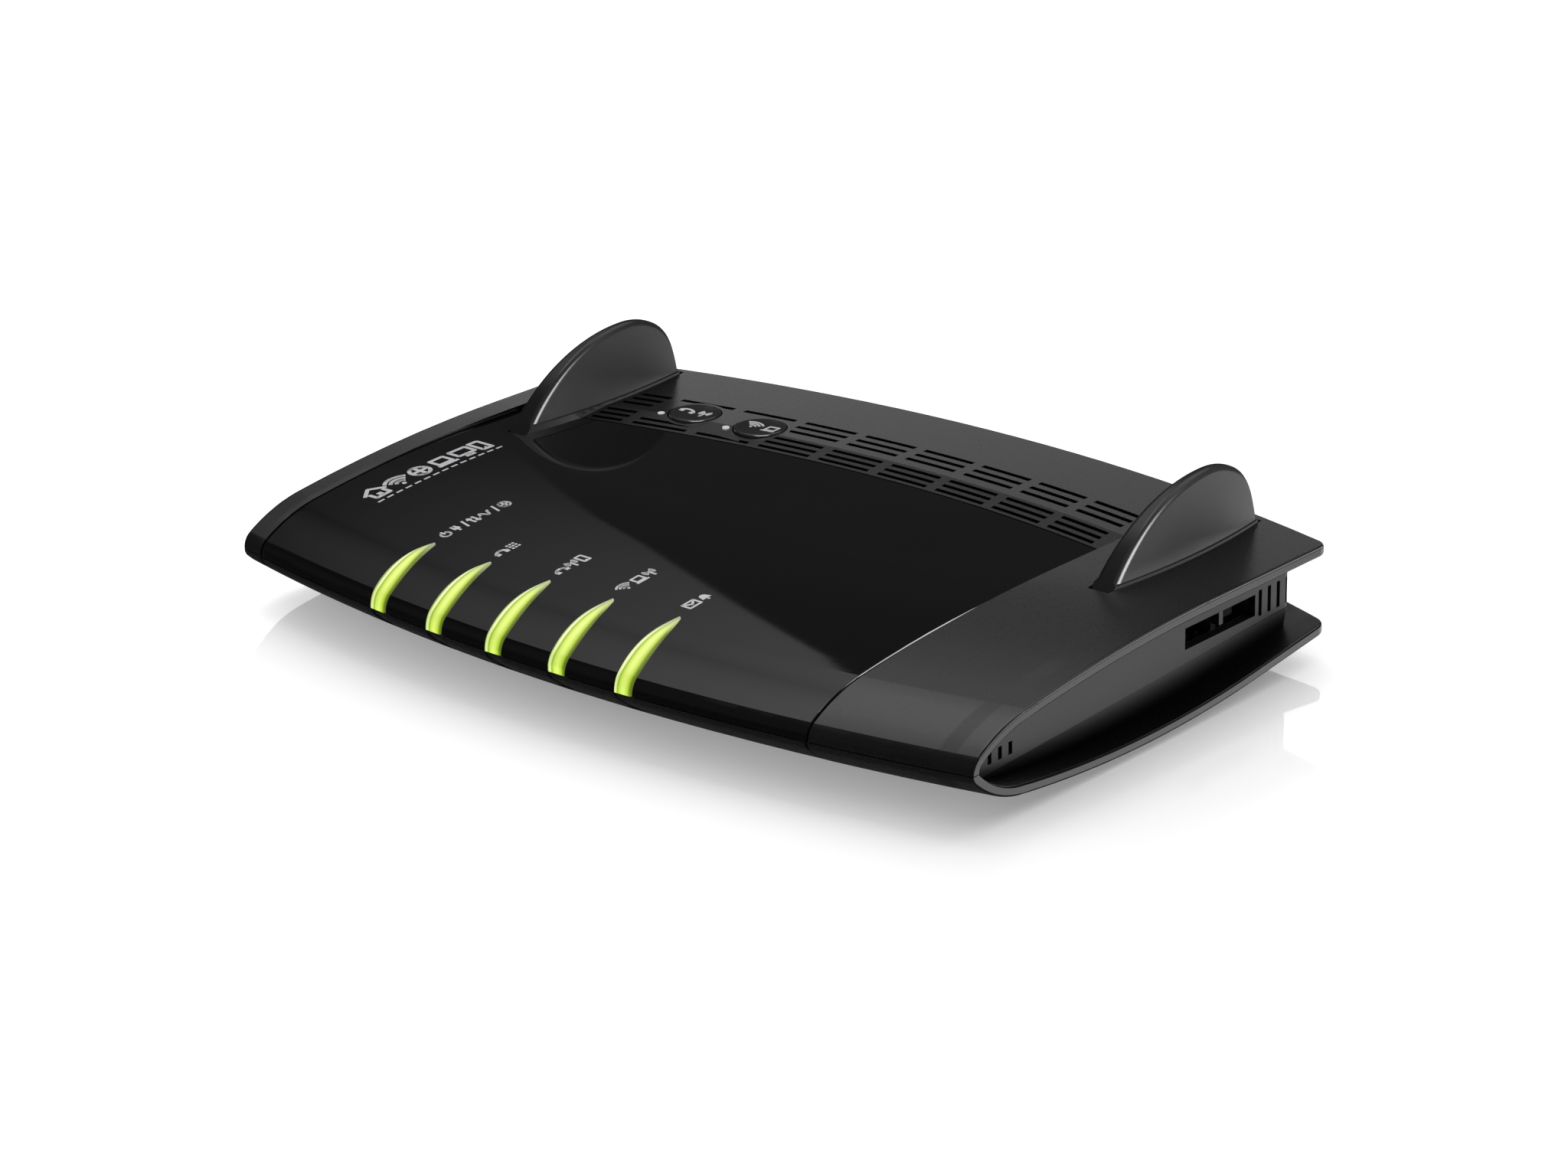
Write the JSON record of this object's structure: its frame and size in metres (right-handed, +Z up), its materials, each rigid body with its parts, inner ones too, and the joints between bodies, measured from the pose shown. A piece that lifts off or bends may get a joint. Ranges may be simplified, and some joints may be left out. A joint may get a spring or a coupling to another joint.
{
  "type": "home gateway router",
  "caption": "Flat black desktop line terminal and home router with a bowed two-skin case, fin antennas, claw-shaped status lights, press buttons, modular, phone, USB and power sockets.",
  "frame": {"origin": "on the table under the middle of the bounding box", "axes": "+X to the right seen from the nose, +Y to the rear sockets, +Z up"},
  "size_m": [0.226, 0.16, 0.047],
  "materials": {
    "matte_black": "fine satin grain",
    "gloss_black": "polished",
    "guide_green": "clear tinted, frosted below",
    "clear_lens": "clear",
    "button_black": "polished",
    "board_green": "solder resist",
    "chip_black": "moulded",
    "led_white": "moulded",
    "socket_black": "moulded",
    "socket_grey": "moulded",
    "socket_yellow": "moulded",
    "relay_white": "moulded",
    "key_grey": "moulded",
    "tinned_steel": "tinned",
    "screw_steel": "zinc plated",
    "gold": "gold flashed",
    "aluminium": "extruded",
    "can_sleeve": "sleeved cans with bare tops",
    "lead_grey": "jacket",
    "foot_rubber": "soft",
    "label_white": "printed film, left blank"
  },
  "bodies": {
    "housing": {"base_shell": "matte_black", "top_cover": "matte_black", "gloss_panel": "gloss_black", "light_guide_1": "guide_green", "light_guide_2": "guide_green", "light_guide_3": "guide_green", "light_guide_4": "guide_green", "light_guide_5": "guide_green", "led_light_shield": "chip_black", "status_leds": "led_white", "switch_bodies": "socket_grey", "button_lenses": "clear_lens", "fin_antenna_left": "matte_black", "fin_antenna_right": "matte_black", "antenna_board_left": "board_green", "antenna_board_right": "board_green", "antenna_lead_left": "lead_grey", "antenna_lead_right": "lead_grey", "coax_plugs": "gold", "main_board": "board_green", "processor": "chip_black", "heat_sink": "aluminium", "memory_chips": "chip_black", "flash_chip": "chip_black", "line_drivers": "chip_black", "relays": "relay_white", "inductors": "chip_black", "crystals": "tinned_steel", "wlan_shield": "tinned_steel", "cordless_shield": "tinned_steel", "transformers": "chip_black", "capacitors": "can_sleeve", "dsl_jack": "socket_grey", "phone_jack_pair": "socket_black", "isdn_jack": "socket_black", "lan_jack_block": "socket_yellow", "jack_contacts": "gold", "rear_usb_shell": "tinned_steel", "side_usb_shell": "tinned_steel", "usb_tongues": "socket_black", "power_jack": "socket_black", "power_pin": "gold", "phone_socket_block": "socket_black", "phone_socket_contacts": "gold", "phone_socket_key": "key_grey", "case_screws": "screw_steel", "board_screws": "screw_steel", "rubber_feet": "foot_rubber", "type_label": "label_white"},
    "cordless_key": {"cordless_button": "button_black", "cordless_switch_plunger": "chip_black"},
    "wireless_key": {"wireless_button": "button_black", "wireless_switch_plunger": "chip_black"}
  },
  "joints": [
    {"name": "cordless_press", "type": "slide", "parent": "housing", "child": "cordless_key", "axis": [0, 0, -1], "range_m": [0, 0.0006], "stiffness_N_per_m": 2500, "springref_m": -0.0002},
    {"name": "wireless_press", "type": "slide", "parent": "housing", "child": "wireless_key", "axis": [0, 0, -1], "range_m": [0, 0.0006], "stiffness_N_per_m": 2500, "springref_m": -0.0002}
  ]
}
